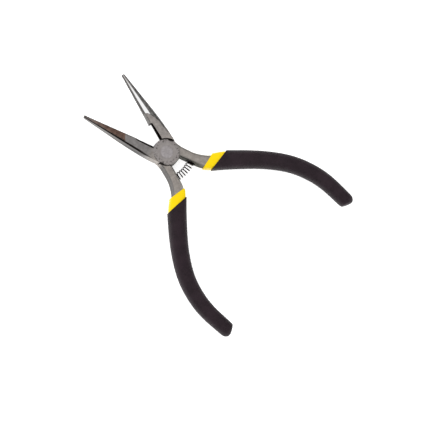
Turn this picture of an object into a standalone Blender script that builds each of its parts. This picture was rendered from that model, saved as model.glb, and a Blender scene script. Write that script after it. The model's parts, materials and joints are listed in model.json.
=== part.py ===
"""Small spring-loaded needle nose pliers with side cutters and double-dipped grips.

The pliers lie flat. The origin is the middle of the rivet's back end, +Z is up along the rivet and
+Y runs along the pliers towards the nose. Each half is drawn as it sits in the closed tool, with its
jaw on the -X side, its handle on the +X side and z = 0 half way through the thickness. The other
half is the same shape turned over about +Y. The two are then opened about the rivet. Drawing units
are millimetres; MM turns them into metres.
"""

import math

import bmesh
import bpy
from mathutils import Matrix, Vector

MM = 0.001

# Pose: each half is turned this far from the closed position
OPEN_HALF_ANGLE = math.radians(18.1)

# Lap joint
BOSS_RADIUS = 6.4
BOSS_DIP_ANGLES = (math.radians(6), math.radians(180))
BOSS_DIP_HALF_SPAN = math.radians(18)
BOSS_DIP_DEPTH = 0.7
BOSS_PAD_LEDGE = 0.3
BOSS_PAD_TOP = 3.9
LAP_GAP = 0.1
SHOULDER_GAP = 0.1

# Rivet
RIVET_RADIUS = 2.2
RIVET_HEAD_RADIUS = 2.9
RIVET_HEAD_DEPTH = 0.7
RIVET_GAP = 0.06
RIVET_DOME = 0.12

# Jaw
TIP_Y = 41.2
TIP_WIDTH = 1.4
TIP_CORNER = 0.3
JAW_OUTER_EDGE = [(-4.62, 20.7), (-5.0, 17.7), (-5.32, 14.7), (-5.62, 10.0), (-5.78, 5.5)]
JAW_ROOT_ANGLE = math.radians(155.5)
CLOSED_GAP = 0.04
NOSE_BEVELS = [(1.35, 36.0), (0.62, 64.0)]
GRIP_EDGE_CHAMFER = 0.28

# Teeth on the gripping face
TEETH_START = 17.2
TEETH_END = 40.4
TOOTH_PITCH = 0.85
TOOTH_DEPTH = 0.22
TOOTH_LAND = 0.3

# Side cutter
CUTTER_START = 6.3
CUTTER_END = 15.0
CUTTER_BEVEL_WIDTH = 1.1
CUTTER_RELIEF_WIDTH = 1.9
CUTTING_EDGE_HEIGHT = 2.4

# Half thickness of the steel along the tool, as (y, half thickness)
STEEL_PROFILE = [
    (-90.0, 2.0), (-30.0, 2.4), (-20.0, 3.2), (-15.0, 3.6), (-11.0, 3.7),
    (8.0, 3.7), (12.0, 3.5), (16.0, 3.2), (20.3, 2.85), (TIP_Y, 1.15),
]
FORGING_EDGE_BEVEL = 0.8

# Neck and tang of a half, as (x, y, half width)
TANG_PATH = [
    (3.1, -8.0, 2.1), (3.1, -11.5, 2.1), (3.42, -15.0, 2.4), (4.05, -18.0, 2.7), (5.5, -20.9, 2.65),
    (7.6, -24.3, 2.45), (9.97, -28.3, 2.3), (15.9, -40.3, 2.2), (19.87, -52.3, 2.1),
    (20.85, -62.3, 2.0), (19.7, -72.3, 1.9), (17.9, -78.5, 1.8),
]
NECK_INNER_X = 1.0
NECK_ROOT_ANGLE = math.radians(-24)
NECK_ROOT_BEND = (5.3, -5.0)

# Outside of a grip, as (x, y, half width, half thickness, squareness of the section)
GRIP_PATH = [
    (2.95, -15.3, 3.6, 4.3, 4.6), (4.0, -18.3, 3.8, 4.35, 4.4), (5.65, -20.95, 4.1, 4.4, 3.6),
    (7.85, -24.2, 4.45, 4.5, 2.8), (10.1, -28.25, 4.52, 4.55, 2.4), (15.9, -40.3, 4.27, 4.45, 2.3),
    (19.87, -52.3, 4.1, 4.35, 2.3), (20.85, -62.3, 3.97, 4.25, 2.3), (19.7, -72.3, 3.85, 4.15, 2.3),
    (15.75, -84.2, 3.65, 4.0, 2.3),
]
GRIP_END_LENGTH = 3.35
GRIP_END_FLAT = ((16.0, -87.8), (12.2, -83.7))
GRIP_END_SOFTNESS = 0.9
COVER_THICKNESS = 0.4
DIP_GAP = 0.08
TANG_GAP = 0.12
BASE_HEAD_LINE = ((1.3, -18.3), (8.0, -19.25))
COVER_HEAD_LINE = ((2.5, -22.3), (12.5, -24.6))

# Return spring: a straight seat in each neck and one arc between them
SEAT_Y = -12.05
SEAT_RADIUS = 2.2
SEAT_DEPTH = 2.4
SPRING_TURNS = 10.25
SPRING_START = math.radians(-70)
SPRING_RADIUS = 1.68
WIRE_RADIUS = 0.23
SPRING_END_GAP = 0.12

# Fineness of the curves
ARC_STEP = math.radians(4)
SPLINE_STEPS = 3
GRIP_SIDES = 20
END_CAP_RINGS = 5
WIRE_SIDES = 5
STEPS_PER_TURN = 14

STEEL = (0.29, 0.275, 0.265, 1.0)
RIVET_STEEL = (0.31, 0.295, 0.29, 1.0)
SPRING_STEEL = (0.045, 0.042, 0.042, 1.0)
YELLOW = (0.9, 0.68, 0.01, 1.0)
BLACK = (0.02, 0.014, 0.018, 1.0)


def polar(radius, angle):
    return (radius * math.cos(angle), radius * math.sin(angle))


def boss_radius(angle):
    """The boss is round, with a shallow dip on each side where it passes the other half's shoulders."""
    radius = BOSS_RADIUS
    for dip in BOSS_DIP_ANGLES:
        away = abs(math.remainder(angle - dip, 2 * math.pi)) / BOSS_DIP_HALF_SPAN
        if away < 1:
            radius -= BOSS_DIP_DEPTH * math.cos(away * math.pi / 2) ** 2
    return radius


def boss_arc(start, end):
    """Points along the boss's edge, both ends included."""
    count = max(2, round(abs(end - start) / ARC_STEP))
    angles = [start + (end - start) * i / count for i in range(count + 1)]
    return [polar(boss_radius(a), a) for a in angles]


def spline(points, steps=SPLINE_STEPS):
    """A Catmull-Rom curve through the points, which may have any number of coordinates."""
    vectors = [Vector(p) for p in points]
    padded = [2 * vectors[0] - vectors[1]] + vectors + [2 * vectors[-1] - vectors[-2]]
    curve = []
    for a, b, c, d in zip(padded, padded[1:], padded[2:], padded[3:]):
        for i in range(steps):
            t = i / steps
            curve.append(0.5 * (2 * b + (c - a) * t + (2 * a - 5 * b + 4 * c - d) * t ** 2
                                + (3 * b - a - 3 * c + d) * t ** 3))
    return curve + [vectors[-1]]


def tangents(path):
    """Unit plan directions along a path of vectors."""
    ends = zip([path[0]] + path[:-1], path[1:] + [path[-1]])
    return [Vector((b[0] - a[0], b[1] - a[1])).normalized() for a, b in ends]


def steel_half_thickness(y):
    for (y0, t0), (y1, t1) in zip(STEEL_PROFILE, STEEL_PROFILE[1:]):
        if y <= y1:
            return t0 + (t1 - t0) * (y - y0) / (y1 - y0)
    return STEEL_PROFILE[-1][1]


def principled(name, colour, roughness, metallic):
    material = bpy.data.materials.new(name)
    material.use_nodes = True
    shader = material.node_tree.nodes["Principled BSDF"]
    shader.inputs["Base Color"].default_value = colour
    shader.inputs["Roughness"].default_value = roughness
    shader.inputs["Metallic"].default_value = metallic
    material.diffuse_color = colour
    return material


def add_object(name, bm, material=None, parent=None):
    """Turn a bmesh drawn in millimetres into an object in metres."""
    bmesh.ops.recalc_face_normals(bm, faces=bm.faces)
    bmesh.ops.scale(bm, vec=(MM, MM, MM), verts=bm.verts)
    mesh = bpy.data.meshes.new(name)
    bm.to_mesh(mesh)
    bm.free()
    mesh.shade_smooth()
    mesh.set_sharp_from_angle(angle=math.radians(32))
    obj = bpy.data.objects.new(name, mesh)
    bpy.context.scene.collection.objects.link(obj)
    if material:
        mesh.materials.append(material)
    obj.parent = parent
    return obj


def add_cutter(name, bm, parent):
    cutter = add_object(name, bm, parent=parent)
    cutter.hide_render = True
    cutter.display_type = "WIRE"
    return cutter


def boolean(obj, other, operation):
    modifier = obj.modifiers.new(f"{operation.lower()} {other.name}", "BOOLEAN")
    modifier.operation = operation
    modifier.solver = "EXACT"
    modifier.object = other


def loft(sections):
    """A closed solid through equal-sized rings of points, with flat ends."""
    bm = bmesh.new()
    rings = [[bm.verts.new(p) for p in section] for section in sections]
    for ring, following in zip(rings, rings[1:]):
        for i in range(len(ring)):
            j = (i + 1) % len(ring)
            bm.faces.new((ring[i], ring[j], following[j], following[i]))
    bm.faces.new(rings[0][::-1])
    bm.faces.new(rings[-1])
    return bm


def prism_along_y(profile, y0, y1):
    """A prism whose (x, z) profile runs from y0 to y1."""
    return loft([[(x, y, z) for x, z in profile] for y in (y0, y1)])


def turned(profile, sides):
    """A solid of revolution about Z through (radius, z) points, listed from bottom to top."""
    angles = [2 * math.pi * i / sides for i in range(sides)]
    return loft([[(*polar(radius, a), z) for a in angles] for radius, z in profile])


def cut_by_plane(bm, point, normal):
    """Cut away what lies on the normal's side of a plane, and close the cut."""
    geometry = bm.verts[:] + bm.edges[:] + bm.faces[:]
    cut = bmesh.ops.bisect_plane(bm, geom=geometry, plane_co=point, plane_no=normal, clear_outer=True)
    rim = [g for g in cut["geom_cut"] if isinstance(g, bmesh.types.BMEdge)]
    bmesh.ops.contextual_create(bm, geom=rim)


def jaw_side():
    """The jaw's outer edge, from the tip down to the boss."""
    tip = [(-TIP_WIDTH + TIP_CORNER, TIP_Y), (-TIP_WIDTH, TIP_Y - TIP_CORNER)]
    root = polar(BOSS_RADIUS, JAW_ROOT_ANGLE)
    return [Vector(p) for p in tip] + spline(JAW_OUTER_EDGE + [root])


def gripping_side():
    """The jaw's inner edge, from the boss up to the tip, with its row of teeth."""
    points = [(-CLOSED_GAP, BOSS_RADIUS)]
    count = int((TEETH_END - TEETH_START) / TOOTH_PITCH)
    valley = (TOOTH_PITCH - TOOTH_LAND) / 2
    for i in range(count):
        y = TEETH_START + i * TOOTH_PITCH
        points += [(-CLOSED_GAP, y), (-CLOSED_GAP - TOOTH_DEPTH, y + valley), (-CLOSED_GAP, y + 2 * valley)]
    points.append((-CLOSED_GAP, TIP_Y))
    return [Vector(p) for p in points]


def tang_sides():
    """The handle's two edges: the inner one from the boss out, the outer one back to the boss."""
    path = spline(TANG_PATH)
    sides = [Vector((-t.y, t.x)) for t in tangents(path)]
    inner = [p.to_2d() - side * p.z for p, side in zip(path, sides)]
    outer = [p.to_2d() + side * p.z for p, side in zip(path, sides)]
    middle, half_width = path[-1].to_2d(), path[-1].z
    along = tangents(path)[-1]
    end = [middle + (along * math.sin(a) - sides[-1] * math.cos(a)) * half_width
           for a in (math.pi / 4, math.pi / 2, 3 * math.pi / 4)]
    root = spline([polar(BOSS_RADIUS, NECK_ROOT_ANGLE), NECK_ROOT_BEND, outer[0]])[:-1]
    return inner, end, root + outer


def half_outline():
    """One half in plan, anticlockwise from the tip."""
    inner, end, outer = tang_sides()
    neck_angle = -math.acos(NECK_INNER_X / BOSS_RADIUS) + 2 * math.pi
    boss_back = boss_arc(JAW_ROOT_ANGLE, neck_angle)[1:]
    boss_front = boss_arc(NECK_ROOT_ANGLE, math.pi / 2 - 0.03)[1:]
    return jaw_side() + boss_back + inner + end + outer[::-1] + boss_front + gripping_side()


def blank():
    """The outline given its thickness, which follows STEEL_PROFILE along the tool."""
    bm = bmesh.new()
    bm.faces.new([bm.verts.new((p[0], p[1], 0)) for p in half_outline()])
    for y, _ in STEEL_PROFILE[1:-1]:
        geometry = bm.verts[:] + bm.edges[:] + bm.faces[:]
        bmesh.ops.bisect_plane(bm, geom=geometry, plane_co=(0, y, 0), plane_no=(0, 1, 0))
    bottom = bm.faces[:]
    top = [g for g in bmesh.ops.extrude_face_region(bm, geom=bottom)["geom"]
           if isinstance(g, bmesh.types.BMVert)]
    for vert in bm.verts:
        vert.co.z = -steel_half_thickness(vert.co.y)
    for vert in top:
        vert.co.z = steel_half_thickness(vert.co.y)
    bmesh.ops.recalc_face_normals(bm, faces=bm.faces)
    return bm


def bevel_handle_edges(bm):
    """Round the long edges of the boss, the neck and the tang, but not those of the jaw."""
    jaw_root = polar(BOSS_RADIUS, JAW_ROOT_ANGLE)

    def is_rim(edge):
        a, b = (v.co for v in edge.verts)
        level = a.z * b.z > 0
        on_jaw = max(a.y, b.y) > BOSS_RADIUS + 0.1 or min(a.x, b.x) < -1 and max(a.y, b.y) > jaw_root[1] + 0.1
        return level and not on_jaw and edge.calc_face_angle(0) > math.radians(60)

    rims = [edge for edge in bm.edges if is_rim(edge)]
    bmesh.ops.bevel(bm, geom=rims, offset=FORGING_EDGE_BEVEL, segments=2, profile=0.5, affect="EDGES")


def cut_nose_bevels(bm):
    """Grind the nose's outer edges: a wide bevel beside the flat, and a steeper one below it."""
    tip_top = STEEL_PROFILE[-1][1]
    heel_x, heel_y = JAW_OUTER_EDGE[0]
    heel_top = steel_half_thickness(heel_y)
    for width, degrees in NOSE_BEVELS:
        slope = math.tan(math.radians(degrees))
        if degrees < 45:
            heel_drop, tip_drop = 0.0, 0.0
        else:
            heel_drop = (NOSE_BEVELS[0][0] - width) * math.tan(math.radians(NOSE_BEVELS[0][1]))
            tip_drop = heel_drop * tip_top / heel_top
        shrink = tip_top / heel_top
        heel = Vector((heel_x + width, heel_y, heel_top - heel_drop))
        tip = Vector((-TIP_WIDTH + width * shrink, TIP_Y, tip_top - tip_drop))
        down = Vector((-1, 0, -slope))
        normal = (tip - heel).cross(down).normalized()
        if normal.x > 0:
            normal.negate()
        cut_by_plane(bm, heel, normal)
        flip = Vector((1, 1, -1))
        cut_by_plane(bm, heel * flip, normal * flip)


def lap_pocket():
    """The round room for the other half's boss, with a shoulder all round it."""
    return turned([(BOSS_RADIUS + SHOULDER_GAP, z) for z in (-9, LAP_GAP / 2)], 96)


def boss_pad():
    """The slightly raised flat on the boss, which follows its edge and leaves a narrow ledge."""
    rim = 0.25
    angles = [2 * math.pi * i / 90 for i in range(90)]
    return loft([[(*polar(boss_radius(a) - inset, a), z) for a in angles]
                 for inset, z in ((BOSS_PAD_LEDGE, 1.0), (BOSS_PAD_LEDGE, BOSS_PAD_TOP - rim),
                                  (BOSS_PAD_LEDGE + rim, BOSS_PAD_TOP))])


def rivet_profile(gap):
    """Half the rivet's outline, from its middle to the top of its countersunk head."""
    shank = RIVET_RADIUS + gap
    head = RIVET_HEAD_RADIUS + gap
    return [(shank, 0), (shank, BOSS_PAD_TOP - RIVET_HEAD_DEPTH), (head, BOSS_PAD_TOP)]


def rivet_hole():
    upper = rivet_profile(RIVET_GAP)
    return turned([(r, z - 1.0 if z == 0 else z) for r, z in upper] + [(upper[-1][0], BOSS_PAD_TOP + 2)], 48)


def cutter_notch(edge_height):
    """The two ground flats of the side cutter, which meet in the cutting edge."""
    top = 9.0
    rise = (steel_half_thickness(CUTTER_START) - abs(edge_height)) / CUTTER_BEVEL_WIDTH
    fall = (steel_half_thickness(CUTTER_START) + abs(edge_height)) / CUTTER_RELIEF_WIDTH
    side = math.copysign(1, edge_height)
    edge = (-CLOSED_GAP, edge_height)
    above = (-CLOSED_GAP - (top - abs(edge_height)) / rise, side * top)
    below = (-CLOSED_GAP - (top + abs(edge_height)) / fall, -side * top)
    return prism_along_y([edge, above, (top, side * top), (top, -side * top), below], CUTTER_START, CUTTER_END)


def grip_edge_chamfer(side):
    """Takes the sharp corner off the gripping face, along the top (side 1) or bottom (side -1)."""
    sections = []
    for y in (CUTTER_END + 0.6, TIP_Y + 1):
        corner = steel_half_thickness(y) - (y > TIP_Y) * 0.09
        size = GRIP_EDGE_CHAMFER
        sections.append([(-CLOSED_GAP - size, y, side * corner), (-CLOSED_GAP - size, y, side * (corner + 2)),
                         (2, y, side * (corner + 2)), (2, y, side * (corner - size)),
                         (-CLOSED_GAP, y, side * (corner - size))])
    return loft(sections)


def spring_seat():
    """A blind round hole into the neck, square to its inner face."""
    bm = turned([(SEAT_RADIUS, 0), (SEAT_RADIUS, SEAT_DEPTH + 2)], 32)
    bmesh.ops.rotate(bm, cent=(0, 0, 0), matrix=Matrix.Rotation(-math.pi / 2, 3, "Y"), verts=bm.verts)
    bmesh.ops.translate(bm, vec=(NECK_INNER_X + SEAT_DEPTH, SEAT_Y, 0), verts=bm.verts)
    return bm


def make_forging(name, edge_side, material, parent):
    """One half's jaw, boss, neck and tang, in one piece of steel."""
    bm = blank()
    bevel_handle_edges(bm)
    cut_nose_bevels(bm)
    forging = add_object(name, bm, material, parent)
    boolean(forging, add_cutter(f"{name} pad", boss_pad(), parent), "UNION")
    cutters = {
        "pocket": lap_pocket(),
        "rivet hole": rivet_hole(),
        "seat": spring_seat(),
        "side cutter": cutter_notch(edge_side * CUTTING_EDGE_HEIGHT),
        "top chamfer": grip_edge_chamfer(1),
        "bottom chamfer": grip_edge_chamfer(-1),
    }
    for label, shape in cutters.items():
        boolean(forging, add_cutter(f"{name} {label}", shape, parent), "DIFFERENCE")
    return forging


def superellipse(half_width, half_thickness, squareness):
    """A soft rectangle, as (across, up) points; squareness 2 is an ellipse."""
    points = []
    for i in range(GRIP_SIDES):
        a = 2 * math.pi * i / GRIP_SIDES
        c, s = math.cos(a), math.sin(a)
        points.append((math.copysign(abs(c) ** (2 / squareness), c) * half_width,
                       math.copysign(abs(s) ** (2 / squareness), s) * half_thickness))
    return points


def upright_plane(line):
    """Point and normal of the upright plane through a line in plan; the normal is on its left."""
    start, end = (Vector((x, y, 0)) for x, y in line)
    direction = (end - start).normalized()
    return start, Vector((-direction.y, direction.x, 0))


def behind_end_flat(point, along, inset):
    """A point of the grip's rounded end, pushed back behind the oblique flat that ends the grip."""
    start, normal = upright_plane(GRIP_END_FLAT)
    beyond = (point - start).dot(normal) + inset
    if beyond > GRIP_END_SOFTNESS:
        push = beyond
    else:
        push = max(0, beyond + GRIP_END_SOFTNESS) ** 2 / (4 * GRIP_END_SOFTNESS)
    return point - along * push / along.dot(normal)


def grip_solid(inset):
    """The grip's outside, moved inwards by inset, with a rounded end flattened on its inner side."""
    path = spline(GRIP_PATH)
    sections = [(p.x, p.y, t, p[2] - inset, p[3] - inset) for p, t in zip(path, tangents(path))]
    x, y, t, half_width, half_thickness = sections[-1]
    for i in range(1, END_CAP_RINGS + 1):
        a = math.radians(85) * i / END_CAP_RINGS
        reach = (GRIP_END_LENGTH - inset) * math.sin(a)
        sections.append((x + t.x * reach, y + t.y * reach, t,
                         half_width * math.cos(a), half_thickness * math.cos(a)))
    squareness = [p[4] for p in path] + [path[-1][4]] * END_CAP_RINGS
    rings = []
    for (x, y, t, *half_size), square in zip(sections, squareness):
        along = Vector((t.x, t.y, 0))
        side = Vector((-t.y, t.x, 0))
        ring = [Vector((x, y, up)) + side * across for across, up in superellipse(*half_size, square)]
        rings.append([behind_end_flat(point, along, inset) for point in ring])
    return loft(rings)


def tang_hollow():
    """The room the tang takes up inside the base coat."""
    path = spline(TANG_PATH)[2 * SPLINE_STEPS:]
    along = tangents(path)
    extra = along[-1] * 0.75
    stretched = path + [path[-1] + Vector((extra.x, extra.y, 0)) * 2.6]
    rings = []
    for point, t in zip(stretched, along + [along[-1]]):
        side = Vector((-t.y, t.x))
        w = point.z + TANG_GAP
        h = steel_half_thickness(point.y) + TANG_GAP
        cut = FORGING_EDGE_BEVEL * 0.6
        profile = [(w, h - cut), (w - cut, h), (-w + cut, h), (-w, h - cut),
                   (-w, cut - h), (-w + cut, -h), (w - cut, -h), (w, cut - h)]
        rings.append([(*(point.to_2d() + side * across), up) for across, up in profile])
    return loft(rings)


def make_grip(prefix, materials, parent):
    """The two dipped coats of one handle: a base coat on the steel and a thick cover over it."""
    bm = grip_solid(COVER_THICKNESS + DIP_GAP)
    cut_by_plane(bm, *upright_plane(BASE_HEAD_LINE))
    base = add_object(f"{prefix}_grip_base", bm, materials["yellow"], parent)
    boolean(base, add_cutter(f"{prefix} tang hollow", tang_hollow(), parent), "DIFFERENCE")

    bm = grip_solid(0)
    cut_by_plane(bm, *upright_plane(COVER_HEAD_LINE))
    cover = add_object(f"{prefix}_grip_cover", bm, materials["black"], parent)
    hollow = grip_solid(COVER_THICKNESS)
    boolean(cover, add_cutter(f"{prefix} cover hollow", hollow, parent), "DIFFERENCE")


def make_rivet(material, parent):
    upper = rivet_profile(0)
    dome = (RIVET_HEAD_RADIUS * 0.7, BOSS_PAD_TOP + RIVET_DOME)
    half = upper[1:] + [dome]
    profile = [(r, -z) for r, z in half[::-1]] + half
    add_object("pivot_rivet", turned(profile, 48), material, parent)


def spring_axis(fraction):
    """Point and direction on the bent spring's axis, which runs from the back half's seat to the front's."""
    mouth = Matrix.Rotation(OPEN_HALF_ANGLE, 2) @ Vector((NECK_INNER_X, SEAT_Y))
    radius = mouth.x / math.sin(OPEN_HALF_ANGLE)
    seat = SEAT_DEPTH - SPRING_END_GAP - WIRE_RADIUS
    half_length = seat + radius * OPEN_HALF_ANGLE
    distance = (2 * fraction - 1) * half_length
    angle = max(-OPEN_HALF_ANGLE, min(OPEN_HALF_ANGLE, distance / radius))
    beyond = distance - angle * radius
    direction = Vector((math.cos(angle), math.sin(angle), 0))
    centre = Vector((0, mouth.y + radius * math.cos(OPEN_HALF_ANGLE), 0))
    point = centre + Vector((math.sin(angle), -math.cos(angle), 0)) * radius + direction * beyond
    return point, direction


def make_spring(material, parent):
    """A compression spring of round wire, bent into an arc between its two seats."""
    count = round(SPRING_TURNS * STEPS_PER_TURN)
    up = Vector((0, 0, 1))
    wire = []
    for i in range(count + 1):
        point, direction = spring_axis(i / count)
        turn = SPRING_START + 2 * math.pi * i / STEPS_PER_TURN
        wire.append(point + (direction.cross(up) * math.cos(turn) - up * math.sin(turn)) * SPRING_RADIUS)
    rings = []
    for i, centre in enumerate(wire):
        along = (wire[min(i + 1, count)] - wire[max(i - 1, 0)]).normalized()
        outward = (centre - spring_axis(i / count)[0]).normalized()
        sideways = along.cross(outward)
        rings.append([centre + (outward * math.cos(a) + sideways * math.sin(a)) * WIRE_RADIUS
                      for a in (2 * math.pi * k / WIRE_SIDES for k in range(WIRE_SIDES))])
    add_object("return_spring", loft(rings), material, parent)


def add_empty(name, rotation):
    empty = bpy.data.objects.new(name, None)
    empty.matrix_world = rotation
    bpy.context.scene.collection.objects.link(empty)
    return empty


def build():
    for obj in list(bpy.data.objects):
        bpy.data.objects.remove(obj)
    steel = principled("steel", STEEL, 0.38, 1.0)
    materials = {
        "yellow": principled("yellow dip", YELLOW, 0.35, 0.0),
        "black": principled("black dip", BLACK, 0.75, 0.0),
    }
    raised = Matrix.Translation((0, 0, (BOSS_PAD_TOP + RIVET_DOME) * MM))
    turned_over = Matrix.Rotation(math.pi, 4, "Y")
    front = add_empty("front_half", raised @ Matrix.Rotation(OPEN_HALF_ANGLE, 4, "Z"))
    back = add_empty("back_half", raised @ Matrix.Rotation(-OPEN_HALF_ANGLE, 4, "Z") @ turned_over)
    middle = add_empty("pliers", raised)
    make_forging("front_half_forging", 1, steel, front)
    make_forging("back_half_forging", -1, steel, back)
    make_grip("front", materials, front)
    make_grip("back", materials, back)
    make_rivet(principled("rivet steel", RIVET_STEEL, 0.4, 1.0), middle)
    make_spring(principled("spring steel", SPRING_STEEL, 0.35, 1.0), middle)


build()
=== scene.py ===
"""Looks for the needle nose pliers: worn forged steel, ground noses, yellow and black dipped grips.

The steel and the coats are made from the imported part's own solids, so their places and sizes come from
the frame. The spring is wound again, as round wire in the place of its solid.
"""

import json
import math
from types import SimpleNamespace

import bmesh
import bpy
from mathutils import Matrix, Vector, noise


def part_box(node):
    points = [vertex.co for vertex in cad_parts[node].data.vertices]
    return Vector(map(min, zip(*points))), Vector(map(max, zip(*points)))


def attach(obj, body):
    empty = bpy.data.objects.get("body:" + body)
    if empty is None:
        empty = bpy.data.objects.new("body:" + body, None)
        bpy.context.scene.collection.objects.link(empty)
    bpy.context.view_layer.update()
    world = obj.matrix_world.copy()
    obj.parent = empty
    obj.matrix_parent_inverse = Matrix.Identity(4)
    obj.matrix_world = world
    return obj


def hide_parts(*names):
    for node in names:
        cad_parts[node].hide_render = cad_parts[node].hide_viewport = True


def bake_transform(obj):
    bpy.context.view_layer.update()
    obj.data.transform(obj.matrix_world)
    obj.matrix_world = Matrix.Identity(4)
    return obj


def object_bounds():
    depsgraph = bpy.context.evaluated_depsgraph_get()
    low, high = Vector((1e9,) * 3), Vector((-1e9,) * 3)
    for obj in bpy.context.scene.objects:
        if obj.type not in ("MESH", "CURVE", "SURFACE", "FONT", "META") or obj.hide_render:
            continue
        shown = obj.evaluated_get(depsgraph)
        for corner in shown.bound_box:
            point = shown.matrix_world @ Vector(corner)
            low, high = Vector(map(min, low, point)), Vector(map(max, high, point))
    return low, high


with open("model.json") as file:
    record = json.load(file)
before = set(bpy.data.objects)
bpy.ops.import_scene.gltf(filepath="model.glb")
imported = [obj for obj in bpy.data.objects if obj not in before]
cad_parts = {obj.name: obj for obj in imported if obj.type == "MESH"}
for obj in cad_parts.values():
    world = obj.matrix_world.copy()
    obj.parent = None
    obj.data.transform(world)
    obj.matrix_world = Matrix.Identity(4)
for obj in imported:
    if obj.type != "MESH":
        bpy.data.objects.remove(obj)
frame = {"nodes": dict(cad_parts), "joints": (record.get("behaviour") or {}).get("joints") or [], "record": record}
cad_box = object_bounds()

MM = 0.001

# Camera, in metres: looks down on the tool from a little to its left, and stands far away
CAMERA_DISTANCE = 4.0
CAMERA_TILT = math.radians(12.87)
CAMERA_BEARING = math.radians(-178.14)
IMAGE_UP = math.radians(42.05)
LOOK_AT = Vector((-5.57, -35.76, 4.02)) * MM
FRAME_WIDTH = 196.9 * MM
SENSOR_WIDTH = 36  # in millimetres, as Blender takes it
NEAREST_SEEN = 0.05

# Studio, in metres and watts
LIGHT_PLACE = Vector((-0.3, 0.3, 1.2))
LIGHT_SIZE = 1.2
LIGHT_POWER = 8.0
FLOOR_HALF_WIDTH = 3.0
FLOOR_GLOW = 0.55
FLOOR_TONES = ((0.90, 0.90, 0.90), (0.94, 0.94, 0.94))
ROOM_TONE = (0.93, 0.93, 0.93)
REFLECTED_ROOM_TONE = (0.95, 0.95, 0.95)
FLAG_TONE = (0.04, 0.035, 0.032)

# The dark flags in the reflected room fade in as a direction points further to the side, and lower
FLAG_SIDEWAYS = (0.70, 0.86)
FLAG_HEIGHT = (0.86, 0.70)

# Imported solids: points closer than the first are one, edges shorter than the second are dropped, and
# faces that meet at less than the third are one flat
WELD = 1e-7
SHORTEST_EDGE = 0.01 * MM
FLAT = math.radians(0.7)

# Steel edges are broken by this much
FORGING_EDGE = 0.07 * MM
RIVET_EDGE = 0.05 * MM

# Steel surfaces that meet at more than this are separate faces; below it they are one curved surface
SHARP = math.radians(20)

# The rivet is spread tight in its hole, so its solid is widened by this to close the gap it is packed with
RIVET_GROWTH = 1.02

# Dipped coats: the head is the flat nearest the pivot with more than this area and this Y in its normal
SMALLEST_HEAD = 3 * MM ** 2
HEAD_FACES_JAWS = 0.95

# Points this close to the cut at the head are merged, triangles within these angles are joined, and the
# mesh is subdivided this many times
SLIVER = 0.35 * MM
JOINED_BEND = math.radians(40)
JOINED_SHAPE = math.radians(60)
COAT_LEVELS = 3

# The lip rolled at the head: its radius, its steps, how far its end face reaches in, and how many points
# to either side set the direction that a point rolls in
COVER_LIP = 0.3 * MM
BASE_LIP = 0.45 * MM
LIP_STEPS = 5
LIP_REACH = 0.5 * MM
LIP_SMOOTHING = 4

# The moulded grain: its size in millimetres and its depth, how many times smaller its fine part is, and
# that part's share
BASE_GRAIN_SIZE = 2.5
BASE_GRAIN_DEPTH = 0.01 * MM
COVER_GRAIN_SIZE = 0.55
COVER_GRAIN_DEPTH = 0.035 * MM
FINE_GRAIN = 2.3
FINE_SHARE = 0.5

# Spring: the mouth of its seat in the closed half, how far it goes in, and how its wire is wound
SEAT_MOUTH = (1.0 * MM, -12.05 * MM)
SEATED_LENGTH = 2.05 * MM
WIRE_RADIUS = 0.23 * MM
WIRE_SIDES = 12
STEPS_PER_TURN = 40
SPRING_TURNS = 10.25
SPRING_START = math.radians(-70)

# The spring's edges stay sharp above this, which leaves its ends flat and its wire round
SPRING_SHARP = math.radians(60)

# The ground facet of a jaw, in millimetres of its half's drawing: where it starts and ends, its width at
# each, and how softly its heel and the painted dark reflection on its outer share begin
HEEL_Y = 20.7
HEEL_FACET = 3.27
TIP_Y = 41.2
TIP_FACET = 0.86
HEEL_SOFTNESS = 0.4
DARK_REFLECTION_SOFTNESS = 0.06

# Where the other parts of a half are, in millimetres of its drawing. Each fades in from the first value to
# the second.
JAW_START = (3.0, 9.0)
SIDE_START = (6.5, 12.5)
OUTER_EDGE_RUN = (15.0, 34.0)
CUTTER_START = (5.8, 6.3)
CUTTER_END = (15.6, 15.2)
CUTTER_DEPTH = (-2.6, -2.3)
GRIPPING_FACE = (-0.75, -0.55)
NECK_START = (-2.5, -5.5)
NECK_OUTER_HALF = (3.0, 3.6)
THROAT_START = (-5.0, -6.0)
THROAT_END = (-19.0, -16.8)
THROAT_WIDTH = (3.4, 3.0)
SEAT_RADIUS = (2.7, 2.3)
SEAT_FRONT = (0.85, 1.05)
SEAT_BACK = (3.8, 3.5)
BOSS_RADIUS = (6.35, 6.0)
BOSS_RIM = (3.6, 5.2)

# How large the Z of a surface's normal is. Each fades in from the first to the second.
STEEP = (0.66, 0.55)
SLOPING = (0.97, 0.93)
LEVEL = (0.955, 0.985)

# Tones that both halves share. Pairs are mixed in patches, but the gripping face's are for jaw and nose.
HANDLE_TONES = ((0.345, 0.310, 0.283), (0.445, 0.405, 0.372))
GRAIN_TONE = (0.17, 0.155, 0.145)
STREAK_TONE = (0.36, 0.33, 0.30)
BOSS_TONE = (0.35, 0.325, 0.330)
PIT_TONE = (0.11, 0.10, 0.097)
# Painted shade: the gripping face is darkened as if shadowed by the jaw, most on the nose
GRIPPING_SHADE_TONES = ((0.27, 0.26, 0.25), (0.120, 0.113, 0.108))
# Painted shade: the neck walls and the throat between the halves are darkened
NECK_WALL_SHADE_TONE = (0.195, 0.188, 0.184)
THROAT_SHADE_TONES = ((0.10, 0.098, 0.088), (0.19, 0.185, 0.17))
# Painted shade: near black in the cutter's bevel and the spring's seat
RECESS_SHADE_TONE = (0.014, 0.009, 0.009)
# Specular tints: the second is painted shade, darkening the sides, throat, seat and neck walls at a low angle
PLAIN_TINT = (0.85, 0.85, 0.85)
SHADE_TINT = (0.42, 0.42, 0.42)
FORGED_ROUGHNESS = (0.34, 0.50)
SIDE_ROUGHNESS = 0.30
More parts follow.
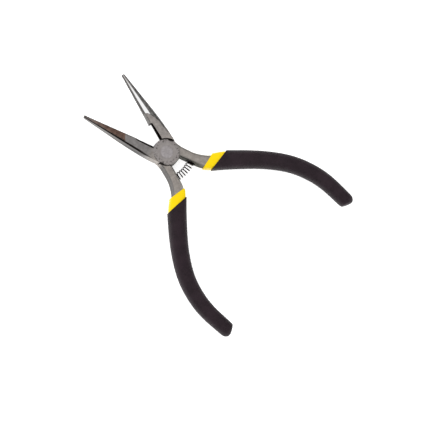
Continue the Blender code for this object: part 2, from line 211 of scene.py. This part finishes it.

# Steel of each half. Pairs of tones are mixed in patches, but the outer edge's go from the boss to the tip,
# and the neck's are for its inner and outer bevel. The bevel, outer edge and neck tones are painted light
# and shade, and the back half's near-white facet is a painted reflection. The facet keeps its tone over its
# inner share and has the bevel's painted dark reflection beyond it, and its heel curves towards the boss.
FRONT_STEEL = SimpleNamespace(
    jaw=((0.200, 0.192, 0.195), (0.285, 0.274, 0.276)),
    facet=((0.085, 0.052, 0.044), (0.20, 0.130, 0.100)),
    bevel=((0.040, 0.031, 0.028), (0.082, 0.068, 0.063)),
    outer_edge=((0.165, 0.160, 0.158), (0.23, 0.222, 0.215)),
    neck=((0.30, 0.28, 0.26), (0.55, 0.52, 0.48)),
    facet_roughness=0.22, facet_share=0.95, facet_bow=0.11)
BACK_STEEL = SimpleNamespace(
    jaw=((0.325, 0.297, 0.284), (0.440, 0.404, 0.386)),
    facet=((0.94, 0.94, 0.94), (0.99, 0.99, 0.99)),
    bevel=((0.100, 0.097, 0.095), (0.190, 0.185, 0.180)),
    outer_edge=((0.118, 0.117, 0.117), (0.066, 0.065, 0.065)),
    neck=((0.85, 0.82, 0.78), (0.275, 0.260, 0.252)),
    facet_roughness=0.10, facet_share=0.66, facet_bow=0.38)

# The other materials. Pairs of tones are mixed in patches, and roughness varies between its two values.
RIVET_TONES = ((0.340, 0.315, 0.318), (0.430, 0.400, 0.405))
RIVET_ROUGHNESS = (0.3, 0.46)
SPRING_TONES = ((0.035, 0.032, 0.031), (0.115, 0.108, 0.102))
SPRING_ROUGHNESS = (0.28, 0.42)
YELLOW_TONES = ((0.76, 0.535, 0.001), (0.78, 0.575, 0.002))
YELLOW_ROUGHNESS = (0.30, 0.42)
DUST_TONE = (0.45, 0.31, 0.02)
BLACK_TONES = ((0.010, 0.0045, 0.0075), (0.017, 0.0085, 0.0130))
BLACK_ROUGHNESS = (0.52, 0.72)
HIGH_SPOT_TONE = (0.027, 0.017, 0.022)

BODIES = frame["record"]["behaviour"]["bodies"]
OPEN_HALF_ANGLE = math.radians(-frame["joints"][0]["range_deg"][0]) / 2
PIVOT = sum(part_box("pivot_rivet"), Vector()) / 2


def body_of(node):
    return next(body for body, nodes in BODIES.items() if node in nodes)


def to_closed_half(node):
    """The matrix from a half as it stands to its drawing, which is closed, front up and in millimetres."""
    if body_of(node) == "front_half":
        turn = Matrix.Rotation(-OPEN_HALF_ANGLE, 4, "Z")
    else:
        turn = Matrix.Rotation(math.pi, 4, "Y") @ Matrix.Rotation(OPEN_HALF_ANGLE, 4, "Z")
    return Matrix.Scale(1 / MM, 4) @ turn @ Matrix.Translation(-PIVOT)


def add_object(name, data):
    made = bpy.data.objects.new(name, data)
    bpy.context.scene.collection.objects.link(made)
    return made


# ---------------------------------------------------------------- shader nodes

def add_node(tree, kind, inputs=None, **settings):
    """Add a shader node. Inputs are values or the sockets to link from."""
    made = tree.nodes.new(f"ShaderNode{kind}")
    for name, value in settings.items():
        setattr(made, name, value)
    for key, value in (inputs or {}).items():
        set_input(tree, made.inputs[key], value)
    return made


def set_input(tree, socket, value):
    if isinstance(value, bpy.types.NodeSocket):
        tree.links.new(value, socket)
    else:
        socket.default_value = value


def connect(tree, shader, **inputs):
    for name, value in inputs.items():
        set_input(tree, shader.inputs[name.replace("_", " ")], value)


def maths(tree, operation, *values):
    return add_node(tree, "Math", dict(enumerate(values)), operation=operation).outputs[0]


def product(tree, *masks):
    result = masks[0]
    for mask in masks[1:]:
        result = maths(tree, "MULTIPLY", result, mask)
    return result


def largest(tree, *masks):
    result = masks[0]
    for mask in masks[1:]:
        result = maths(tree, "MAXIMUM", result, mask)
    return result


def distance(tree, across, along):
    squares = [maths(tree, "MULTIPLY", axis, axis) for axis in (across, along)]
    return maths(tree, "SQRT", maths(tree, "ADD", *squares))


def ramp(tree, value, low, high, out_low=0.0, out_high=1.0):
    """Smoothly takes value from out_low at low to out_high at high."""
    inputs = {"Value": value, "From Min": low, "From Max": high, "To Min": out_low, "To Max": out_high}
    return add_node(tree, "MapRange", inputs, interpolation_type="SMOOTHSTEP").outputs[0]


def mix_value(tree, factor, a, b):
    return add_node(tree, "Mix", {0: factor, 2: a, 3: b}).outputs[0]


def mix_colour(tree, factor, a, b):
    """Colour a where the factor is 0 and b where it is 1. Each is a triple or a socket."""
    a, b = (tone if isinstance(tone, bpy.types.NodeSocket) else (*tone, 1) for tone in (a, b))
    return add_node(tree, "Mix", {0: factor, 6: a, 7: b}, data_type="RGBA").outputs[2]


def noise_at(tree, where, scale, detail=3.0, roughness=0.55):
    inputs = {"Vector": where, "Scale": scale, "Detail": detail, "Roughness": roughness}
    return add_node(tree, "TexNoise", inputs).outputs["Fac"]


def stretched(tree, where, scale):
    return add_node(tree, "Mapping", {"Vector": where, "Scale": scale}).outputs[0]


def bump(tree, height, depth, normal=None):
    inputs = {"Height": height, "Distance": depth}
    if normal is not None:
        inputs["Normal"] = normal
    return add_node(tree, "Bump", inputs).outputs[0]


def new_material(name):
    """A material with nodes, its tree and its shader."""
    material = bpy.data.materials.new(name)
    material.use_nodes = True
    return material, material.node_tree, material.node_tree.nodes["Principled BSDF"]


def place_in_drawing(tree):
    """Where the shaded point is in its half's drawing, in millimetres."""
    return add_node(tree, "Attribute", attribute_name="drawing").outputs["Vector"]


# ---------------------------------------------------------------- forged steel

def ground_facet(tree, x, y, upright, look):
    """Masks for a jaw's ground end, its level facet, and the facet's painted dark reflection."""
    bowed = maths(tree, "ADD", y, product(tree, x, x, look.facet_bow))
    nose = ramp(tree, bowed, HEEL_Y - HEEL_SOFTNESS, HEEL_Y)
    facet = product(tree, nose, ramp(tree, upright, *LEVEL))
    widths = {"Value": y, "From Min": HEEL_Y, "From Max": TIP_Y, "To Min": HEEL_FACET, "To Max": TIP_FACET}
    width = add_node(tree, "MapRange", widths).outputs[0]
    across = maths(tree, "DIVIDE", product(tree, x, -1.0), width)
    dark_reflection_edge = look.facet_share - DARK_REFLECTION_SOFTNESS, look.facet_share + DARK_REFLECTION_SOFTNESS
    return nose, facet, ramp(tree, across, *dark_reflection_edge)


def steel_zones(tree, place, look):
    """Masks for the parts of a half, found from their places and slopes."""
    x, y, z = add_node(tree, "SeparateXYZ", {0: place}).outputs
    facing = add_node(tree, "SeparateXYZ", {0: add_node(tree, "NewGeometry").outputs["Normal"]}).outputs
    upright = maths(tree, "ABSOLUTE", facing[2])
    steep = ramp(tree, upright, *STEEP)
    sloping = ramp(tree, upright, *SLOPING)
    nose, facet, facet_dark_reflection = ground_facet(tree, x, y, upright, look)
    side = product(tree, sloping, ramp(tree, y, *SIDE_START))
    edge = product(tree, side, steep)
    cutter = product(tree, sloping, ramp(tree, x, *CUTTER_DEPTH), ramp(tree, y, *CUTTER_START),
                     ramp(tree, y, *CUTTER_END))
    throat = product(tree, steep, ramp(tree, x, *THROAT_WIDTH), ramp(tree, y, *THROAT_START),
                     ramp(tree, y, *THROAT_END))
    from_seat = distance(tree, maths(tree, "SUBTRACT", y, SEAT_MOUTH[1] / MM), z)
    seat = product(tree, ramp(tree, from_seat, *SEAT_RADIUS), ramp(tree, x, *SEAT_FRONT),
                   ramp(tree, x, *SEAT_BACK))
    radius = distance(tree, x, y)
    boss = ramp(tree, radius, *BOSS_RADIUS)
    return SimpleNamespace(
        nose=nose, facet=facet, facet_dark_reflection=facet_dark_reflection, steep=steep, side=side, edge=edge, cutter=cutter,
        throat=throat, seat=seat, boss=boss,
        jaw=ramp(tree, y, *JAW_START),
        towards_tip=ramp(tree, y, *OUTER_EDGE_RUN),
        gripping=product(tree, edge, ramp(tree, x, *GRIPPING_FACE)),
        neck_edge=product(tree, sloping, ramp(tree, y, *NECK_START)),
        neck_outer_half=ramp(tree, x, *NECK_OUTER_HALF),
        boss_rim=product(tree, boss, ramp(tree, radius, *BOSS_RIM)))


def steel_patterns(tree, place, zones):
    """Stains, grain, forging streaks and grinding marks, and the pits round the boss."""
    blotches = noise_at(tree, place, scale=0.55, detail=4.0)
    pits = ramp(tree, noise_at(tree, place, scale=1.3, detail=2.0), 0.52, 0.60)
    lengthways = stretched(tree, place, (5.0, 0.35, 5.0))
    crossways = stretched(tree, place, (0.5, 7.0, 7.0))
    return SimpleNamespace(
        blotches=blotches,
        cloud=ramp(tree, blotches, 0.35, 0.68),
        grain=noise_at(tree, place, scale=2.6, detail=5.0, roughness=0.7),
        streaks=noise_at(tree, lengthways, scale=1.0, roughness=0.6),
        cross_grind=noise_at(tree, crossways, scale=1.0, detail=2.0, roughness=0.6),
        speckle=product(tree, zones.boss_rim, pits, 0.8))


def forged_colour(tree, zones, patterns, look):
    """The skin left by the forge, on the flats of the jaw, the boss and the neck."""
    handle = mix_colour(tree, patterns.cloud, *HANDLE_TONES)
    colour = mix_colour(tree, zones.jaw, handle, mix_colour(tree, patterns.cloud, *look.jaw))
    grain = ramp(tree, patterns.grain, 0.35, 0.8, out_high=0.5)
    colour = mix_colour(tree, grain, colour, GRAIN_TONE)
    colour = mix_colour(tree, product(tree, patterns.streaks, 0.3), colour, STREAK_TONE)
    colour = mix_colour(tree, product(tree, zones.boss, 0.55), colour, BOSS_TONE)
    return mix_colour(tree, patterns.speckle, colour, PIT_TONE)


def steel_colour(tree, zones, patterns, look):
    """Each zone's colour over the last: skin, sides, gripping face, necks, throat, recesses and facet."""
    # Painted shade: the bevel and outer edge tones darken the sloping and steep sides
    bevel = mix_colour(tree, patterns.cloud, *look.bevel)
    outer_edge = mix_colour(tree, zones.towards_tip, *look.outer_edge)
    sides = mix_colour(tree, zones.edge, bevel, outer_edge)
    colour = mix_colour(tree, zones.side, forged_colour(tree, zones, patterns, look), sides)
    # Painted shade on the gripping face, darkest on the nose
    colour = mix_colour(tree, zones.gripping, colour, mix_colour(tree, zones.nose, *GRIPPING_SHADE_TONES))
    # Painted light and shade: of the neck's inner and outer bevels, one gets a lit tone and the other a shaded one
    neck_bevel = mix_colour(tree, zones.neck_outer_half, *look.neck)
    neck = mix_colour(tree, zones.steep, neck_bevel, NECK_WALL_SHADE_TONE)
    colour = mix_colour(tree, zones.neck_edge, colour, neck)
    # Painted shade in the throat
    colour = mix_colour(tree, zones.throat, colour, mix_colour(tree, patterns.cloud, *THROAT_SHADE_TONES))
    # Painted shade: near black in the cutter's bevel and the spring's seat
    colour = mix_colour(tree, largest(tree, zones.cutter, zones.seat), colour, RECESS_SHADE_TONE)
    patches = ramp(tree, maths(tree, "ADD", patterns.streaks, patterns.blotches), 0.75, 1.3)
    # Painted reflection: the facet's tone, near white on the back half, with the bevel's painted dark reflection
    # over its outer share
    facet = mix_colour(tree, zones.facet_dark_reflection, mix_colour(tree, patches, *look.facet), bevel)
    return mix_colour(tree, zones.facet, colour, facet)


def steel_relief(tree, zones, patterns):
    """Rough where forged, pitted round the boss, lower on the ground nose and faintly scored all over."""
    forged = maths(tree, "SUBTRACT", 1.0, largest(tree, zones.facet, zones.side))
    skin = maths(tree, "ADD", product(tree, patterns.grain, 0.5), patterns.blotches)
    skin = maths(tree, "SUBTRACT", product(tree, skin, forged), product(tree, patterns.speckle, 0.6))
    normal = bump(tree, skin, depth=0.06 * MM)
    normal = bump(tree, product(tree, zones.nose, -1.0), depth=0.04 * MM, normal=normal)
    return bump(tree, patterns.cross_grind, depth=0.006 * MM, normal=normal)


def forged_steel(name, look):
    """Drop-forged steel with a ground nose. Its sides have painted shade that keeps them dark at a low angle."""
    material, tree, shader = new_material(name)
    place = place_in_drawing(tree)
    zones = steel_zones(tree, place, look)
    patterns = steel_patterns(tree, place, zones)
    rough = ramp(tree, patterns.grain, 0.25, 0.75, *FORGED_ROUGHNESS)
    rough = mix_value(tree, zones.side, rough, SIDE_ROUGHNESS)
    rough = mix_value(tree, zones.facet, rough, look.facet_roughness)
    neck_wall = product(tree, zones.neck_edge, zones.steep)
    # Painted shade in the reflections of the sides, throat, seat and neck walls at a low angle
    shaded_reflections = largest(tree, zones.side, zones.throat, zones.seat, neck_wall)
    connect(tree, shader, Metallic=1.0, Roughness=rough,
            Base_Color=steel_colour(tree, zones, patterns, look),
            Specular_Tint=mix_colour(tree, shaded_reflections, PLAIN_TINT, SHADE_TINT),
            Normal=steel_relief(tree, zones, patterns))
    return material


# ---------------------------------------------------------------- other materials

def rivet_steel():
    """Peened steel, ground flush with the boss in faint turned rings."""
    material, tree, shader = new_material("rivet_steel")
    place = place_in_drawing(tree)
    x, y, _ = add_node(tree, "SeparateXYZ", {0: place}).outputs
    rings = maths(tree, "SINE", product(tree, distance(tree, x, y), 22.0))
    grain = noise_at(tree, place, scale=3.0, detail=4.0, roughness=0.65)
    cloud = ramp(tree, noise_at(tree, place, scale=0.9), 0.35, 0.65)
    height = maths(tree, "ADD", grain, product(tree, rings, 0.06))
    connect(tree, shader, Base_Color=mix_colour(tree, cloud, *RIVET_TONES), Metallic=1.0,
            Roughness=ramp(tree, grain, 0.2, 0.8, *RIVET_ROUGHNESS),
            Normal=bump(tree, height, depth=0.03 * MM))
    return material


def spring_steel():
    """Dark oiled music wire, worn bright in patches."""
    material, tree, shader = new_material("spring_steel")
    place = place_in_drawing(tree)
    worn = ramp(tree, noise_at(tree, place, scale=1.1), 0.5, 0.75)
    grain = noise_at(tree, place, scale=9.0, detail=2.0)
    connect(tree, shader, Base_Color=mix_colour(tree, worn, *SPRING_TONES), Metallic=1.0,
            Roughness=ramp(tree, grain, 0.2, 0.8, *SPRING_ROUGHNESS),
            Normal=bump(tree, grain, depth=0.01 * MM))
    return material


def yellow_vinyl():
    """Smooth dipped vinyl, clouded a little in colour and with faint dust."""
    material, tree, shader = new_material("yellow_vinyl")
    place = place_in_drawing(tree)
    cloud = noise_at(tree, place, scale=0.35)
    specks = noise_at(tree, place, scale=4.5, roughness=0.7)
    dust = ramp(tree, specks, 0.62, 0.75, out_high=0.12)
    colour = mix_colour(tree, ramp(tree, cloud, 0.3, 0.7), *YELLOW_TONES)
    ripple = noise_at(tree, place, scale=0.8, detail=2.0)
    connect(tree, shader, Base_Color=mix_colour(tree, dust, colour, DUST_TONE), Specular_IOR_Level=0.12,
            Roughness=ramp(tree, cloud, 0.2, 0.8, *YELLOW_ROUGHNESS),
            Normal=bump(tree, ripple, depth=0.04 * MM))
    return material


def black_vinyl():
    """Matte dipped vinyl with a fine leathery grain, a little lighter on its high spots."""
    material, tree, shader = new_material("black_vinyl")
    place = place_in_drawing(tree)
    cells = add_node(tree, "TexVoronoi", {"Vector": place, "Scale": 2.6, "Randomness": 1.0},
                     feature="SMOOTH_F1").outputs["Distance"]
    fine = noise_at(tree, place, scale=5.5, detail=4.0, roughness=0.65)
    broad = noise_at(tree, place, scale=0.18)
    height = maths(tree, "ADD", product(tree, cells, -1.0), product(tree, fine, 0.7))
    high_spots = ramp(tree, height, -0.25, 0.35, out_high=0.5)
    colour = mix_colour(tree, ramp(tree, broad, 0.3, 0.7), *BLACK_TONES)
    connect(tree, shader, Base_Color=mix_colour(tree, high_spots, colour, HIGH_SPOT_TONE), Specular_IOR_Level=0.25,
            Roughness=ramp(tree, fine, 0.25, 0.75, *BLACK_ROUGHNESS),
            Normal=bump(tree, height, depth=0.14 * MM))
    return material


def pale_floor():
    """Matte paper on a light table: its glow keeps the shadows faint."""
    material, tree, shader = new_material("floor")
    fibres = noise_at(tree, add_node(tree, "TexCoord").outputs["Object"], scale=900.0)
    connect(tree, shader, Base_Color=mix_colour(tree, fibres, *FLOOR_TONES), Roughness=0.9,
            Specular_IOR_Level=0.0, Emission_Color=(1, 1, 1, 1), Emission_Strength=FLOOR_GLOW)
    return material


# ---------------------------------------------------------------- pieces

def cad_mesh(node):
    """A welded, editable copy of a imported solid."""
    bm = bmesh.new()
    bm.from_mesh(frame["nodes"][node].data)
    bmesh.ops.remove_doubles(bm, verts=bm.verts, dist=WELD)
    return bm


def add_piece(node, bm, material, smooth_below=math.pi):
    """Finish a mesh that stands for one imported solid: normals, drawing coordinates, material and slot."""
    bmesh.ops.recalc_face_normals(bm, faces=bm.faces)
    mesh = bpy.data.meshes.new(f"{node}_look")
    bm.to_mesh(mesh)
    bm.free()
    mesh.shade_smooth()
    mesh.set_sharp_from_angle(angle=smooth_below)
    drawing = mesh.attributes.new("drawing", "FLOAT_VECTOR", "POINT")
    to_drawing = to_closed_half(node)
    drawing.data.foreach_set("vector", [c for v in mesh.vertices for c in to_drawing @ v.co])
    mesh.materials.append(material)
    piece = add_object(f"{node}_look", mesh)
    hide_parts(node)
    return piece


def add_steel(node, material, edge_break, growth=1.0):
    """A steel solid, its flats merged and its corners a little rounded. Growth widens it about the pivot."""
    bm = cad_mesh(node)
    bmesh.ops.scale(bm, vec=(growth, growth, 1), space=Matrix.Translation(-PIVOT), verts=bm.verts)
    bmesh.ops.dissolve_degenerate(bm, edges=bm.edges, dist=SHORTEST_EDGE)
    bmesh.ops.dissolve_limit(bm, angle_limit=FLAT, verts=bm.verts, edges=bm.edges)
    corners = [e for e in bm.edges if e.is_manifold and e.calc_face_angle() > SHARP]
    bmesh.ops.bevel(bm, geom=corners, offset=edge_break, offset_type="OFFSET", segments=2, profile=0.5,
                    affect="EDGES", clamp_overlap=False, harden_normals=False)
    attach(add_piece(node, bm, material, SHARP), body_of(node))


def head_plane(bm):
    """Point and normal of the flat that faces the jaws at the head of a coat."""
    flats = {}
    for face in bm.faces:
        if face.normal.y > HEAD_FACES_JAWS:
            offset = face.normal.dot(face.verts[0].co)
            key = (round(face.normal.x, 2), round(offset, 5))
            flats.setdefault(key, []).append(face)
    large = [faces for faces in flats.values() if sum(f.calc_area() for f in faces) > SMALLEST_HEAD]
    head = min(large, key=lambda faces: (faces[0].calc_center_median() - PIVOT).length)
    return head[0].verts[0].co.copy(), head[0].normal.copy()


def keep_outer_shell(bm):
    """Leave only the connected faces that reach highest, which are the outside of a hollow coat."""
    shell = set()
    still_to_visit = [max(bm.verts, key=lambda v: v.co.z)]
    while still_to_visit:
        vert = still_to_visit.pop()
        if vert not in shell:
            shell.add(vert)
            still_to_visit += [e.other_vert(vert) for e in vert.link_edges]
    bmesh.ops.delete(bm, geom=[v for v in bm.verts if v not in shell], context="VERTS")


def clean_rim(bm):
    """Merge the slivers that the cut leaves along the rim, without moving the rim off the cut."""
    rim = [v for v in bm.verts if v.is_boundary]
    bmesh.ops.remove_doubles(bm, verts=rim, dist=SLIVER)
    rim = [v for v in bm.verts if v.is_boundary]
    near = bmesh.ops.find_doubles(bm, verts=bm.verts, keep_verts=rim, dist=SLIVER)
    into_rim = {vert: kept for vert, kept in near["targetmap"].items() if kept.is_boundary}
    bmesh.ops.weld_verts(bm, targetmap=into_rim)


def subdivided(bm, levels):
    """A finer, smoother copy of a mesh, in place of the one passed in."""
    mesh = bpy.data.meshes.new("coarse")
    bm.to_mesh(mesh)
    bm.free()
    coarse = add_object("coarse", mesh)
    modifier = coarse.modifiers.new("smooth", "SUBSURF")
    modifier.levels = levels
    evaluated = coarse.evaluated_get(bpy.context.evaluated_depsgraph_get())
    fine = bmesh.new()
    fine.from_mesh(evaluated.to_mesh())
    evaluated.to_mesh_clear()
    bpy.data.objects.remove(coarse)
    bpy.data.meshes.remove(mesh)
    return fine


def open_rim(bm):
    """The vertices round the open head of a coat, in order."""
    edge = next(e for e in bm.edges if e.is_boundary)
    ring = [edge.verts[0]]
    vert = edge.verts[1]
    while vert is not ring[0]:
        edge = next(e for e in vert.link_edges if e.is_boundary and e is not edge)
        ring.append(vert)
        vert = edge.other_vert(vert)
    return ring


def inward_directions(points, forwards):
    """For each point round a rim, the direction across the rim towards its middle."""
    centre = sum(points, Vector()) / len(points)
    inwards = []
    for i, point in enumerate(points):
        along = points[(i + LIP_SMOOTHING) % len(points)] - points[i - LIP_SMOOTHING]
        inward = along.cross(forwards).normalized()
        inwards.append(inward if inward.dot(centre - point) > 0 else -inward)
    return inwards


def add_lip(bm, forwards, radius):
    """Roll the open head of a coat over to its flat end face, and close it."""
    ring = open_rim(bm)
    starts = [vert.co.copy() for vert in ring]
    inwards = inward_directions(starts, forwards)
    turns = [math.pi / 2 * (i + 1) / LIP_STEPS for i in range(LIP_STEPS)]
    steps = [(radius * (1 - math.cos(a)), radius * math.sin(a)) for a in turns]
    for inset, advance in steps + [(radius + LIP_REACH, radius)]:
        following = [bm.verts.new(start + inward * inset + forwards * advance)
                     for start, inward in zip(starts, inwards)]
        for i in range(len(ring)):
            bm.faces.new((ring[i - 1], ring[i], following[i], following[i - 1]))
        ring = following
    bm.faces.new(ring)


def mould_grain(bm, node, size, depth):
    """Mould a grain into a coat, sunk by its depth so that next to nothing of it rises above the surface."""
    to_drawing = to_closed_half(node)
    moves = []
    for vert in bm.verts:
        place = to_drawing @ vert.co / size
        height = noise.noise(place) + FINE_SHARE * noise.noise(place * FINE_GRAIN)
        moves.append(vert.normal * (height - 1.0) * depth)
    for vert, move in zip(bm.verts, moves):
        vert.co += move


def add_coat(node, material, lip, grain_size, grain_depth):
    """A dipped coat: the outside of its solid made smooth, with a rolled lip and a moulded grain."""
    bm = cad_mesh(node)
    head, forwards = head_plane(bm)
    geometry = bm.verts[:] + bm.edges[:] + bm.faces[:]
    bmesh.ops.bisect_plane(bm, geom=geometry, plane_co=head - forwards * lip, plane_no=forwards,
                           clear_outer=True)
    keep_outer_shell(bm)
    clean_rim(bm)
    bmesh.ops.join_triangles(bm, faces=bm.faces, angle_face_threshold=JOINED_BEND,
                             angle_shape_threshold=JOINED_SHAPE)
    bm = subdivided(bm, COAT_LEVELS)
    bm.normal_update()
    add_lip(bm, forwards, lip)
    bm.normal_update()
    mould_grain(bm, node, grain_size, grain_depth)
    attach(add_piece(node, bm, material), body_of(node))


def spring_axis(fraction):
    """Point and direction on the bent spring's axis, from the back half's seat to the front half's."""
    mouth = Matrix.Rotation(OPEN_HALF_ANGLE, 2) @ Vector(SEAT_MOUTH)
    radius = mouth.x / math.sin(OPEN_HALF_ANGLE)
    reach = (2 * fraction - 1) * (radius * OPEN_HALF_ANGLE + SEATED_LENGTH)
    angle = max(-OPEN_HALF_ANGLE, min(OPEN_HALF_ANGLE, reach / radius))
    direction = Vector((math.cos(angle), math.sin(angle), 0))
    centre = PIVOT + Vector((0, mouth.y + radius * math.cos(OPEN_HALF_ANGLE), 0))
    bend = Vector((math.sin(angle), -math.cos(angle), 0)) * radius
    return centre + bend + direction * (reach - angle * radius), direction


def wire_centres(count):
    """Points along the wire as it winds round the spring's axis."""
    low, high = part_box("return_spring")
    coil_radius = (high.z - low.z) / 2 - WIRE_RADIUS
    up = Vector((0, 0, 1))
    centres = []
    for i in range(count + 1):
        point, direction = spring_axis(i / count)
        turn = SPRING_START + 2 * math.pi * i / STEPS_PER_TURN
        outward = direction.cross(up) * math.cos(turn) - up * math.sin(turn)
        centres.append(point + outward * coil_radius)
    return centres


def add_spring():
    """Round wire wound on the bent axis, each ring at its share of the length along it."""
    count = round(SPRING_TURNS * STEPS_PER_TURN)
    wire = wire_centres(count)
    bm = bmesh.new()
    rings = []
    for i, centre in enumerate(wire):
        along = (wire[min(i + 1, count)] - wire[max(i - 1, 0)]).normalized()
        outward = (centre - spring_axis(i / count)[0]).normalized()
        across = along.cross(outward)
        angles = [2 * math.pi * k / WIRE_SIDES for k in range(WIRE_SIDES)]
        rings.append([bm.verts.new(centre + (outward * math.cos(a) + across * math.sin(a)) * WIRE_RADIUS)
                      for a in angles])
    for ring, following in zip(rings, rings[1:]):
        for k in range(WIRE_SIDES):
            bm.faces.new((ring[k - 1], ring[k], following[k], following[k - 1]))
    bm.faces.new(rings[0])
    bm.faces.new(rings[-1])
    spring = add_piece("return_spring", bm, spring_steel(), SPRING_SHARP)
    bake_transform(spring)


# ---------------------------------------------------------------- studio

def add_floor():
    size = FLOOR_HALF_WIDTH
    z = cad_box[0][2]
    mesh = bpy.data.meshes.new("floor")
    corners = [(-size, -size, z), (size, -size, z), (size, size, z), (-size, size, z)]
    mesh.from_pydata(corners, [], [(0, 1, 2, 3)])
    mesh.materials.append(pale_floor())
    add_object("floor", mesh)


def add_world():
    """A pale room. In reflections it is bright overhead, with a dark flag on either side."""
    world = bpy.data.worlds.new("studio")
    world.use_nodes = True
    tree = world.node_tree
    looking = add_node(tree, "TexCoord").outputs["Generated"]
    x, _, z = add_node(tree, "SeparateXYZ", {0: looking}).outputs
    # a little over 1, so that the level part of a direction is never zero
    level = maths(tree, "SQRT", maths(tree, "SUBTRACT", 1.001, product(tree, z, z)))
    sideways = maths(tree, "DIVIDE", maths(tree, "ABSOLUTE", x), level)
    flag = product(tree, ramp(tree, sideways, *FLAG_SIDEWAYS), ramp(tree, z, *FLAG_HEIGHT))
    reflected = mix_colour(tree, flag, REFLECTED_ROOM_TONE, FLAG_TONE)
    in_reflection = add_node(tree, "LightPath").outputs["Is Glossy Ray"]
    connect(tree, tree.nodes["Background"], Color=mix_colour(tree, in_reflection, ROOM_TONE, reflected))
    world.cycles.sampling_method = "NONE"
    bpy.context.scene.world = world


def add_overhead_light():
    """A broad soft light that reflections don't show."""
    data = bpy.data.lights.new("overhead", "AREA")
    data.shape = "DISK"
    data.size = LIGHT_SIZE
    data.energy = LIGHT_POWER
    light = add_object("overhead", data)
    light.location = LIGHT_PLACE
    light.rotation_euler = (-LIGHT_PLACE).to_track_quat("-Z", "Y").to_euler()
    light.visible_glossy = False
    light.visible_camera = False


def add_camera():
    """The image's right, up and outward directions are worked out from the tilt and turn of the camera."""
    outwards = Vector((math.sin(CAMERA_TILT) * math.cos(CAMERA_BEARING),
                       math.sin(CAMERA_TILT) * math.sin(CAMERA_BEARING), math.cos(CAMERA_TILT)))
    up = Vector((math.cos(IMAGE_UP), math.sin(IMAGE_UP), 0))
    right = up.cross(outwards).normalized()
    up = outwards.cross(right)
    rotation = Matrix((right, up, outwards)).transposed()
    data = bpy.data.cameras.new("camera")
    data.sensor_width = SENSOR_WIDTH
    data.lens = SENSOR_WIDTH * CAMERA_DISTANCE / FRAME_WIDTH
    data.clip_start = NEAREST_SEEN
    camera = add_object("camera", data)
    camera.matrix_world = Matrix.Translation(LOOK_AT + outwards * CAMERA_DISTANCE) @ rotation.to_4x4()
    bpy.context.scene.camera = camera


add_steel("front_half_forging", forged_steel("front_steel", FRONT_STEEL), FORGING_EDGE)
add_steel("back_half_forging", forged_steel("back_steel", BACK_STEEL), FORGING_EDGE)
add_steel("pivot_rivet", rivet_steel(), RIVET_EDGE, RIVET_GROWTH)
yellow = yellow_vinyl()
black = black_vinyl()
for half in ("front", "back"):
    add_coat(f"{half}_grip_base", yellow, BASE_LIP, BASE_GRAIN_SIZE, BASE_GRAIN_DEPTH)
    add_coat(f"{half}_grip_cover", black, COVER_LIP, COVER_GRAIN_SIZE, COVER_GRAIN_DEPTH)
add_spring()

add_floor()
add_world()
add_overhead_light()
add_camera()
bpy.context.scene.view_settings.view_transform = "Standard"
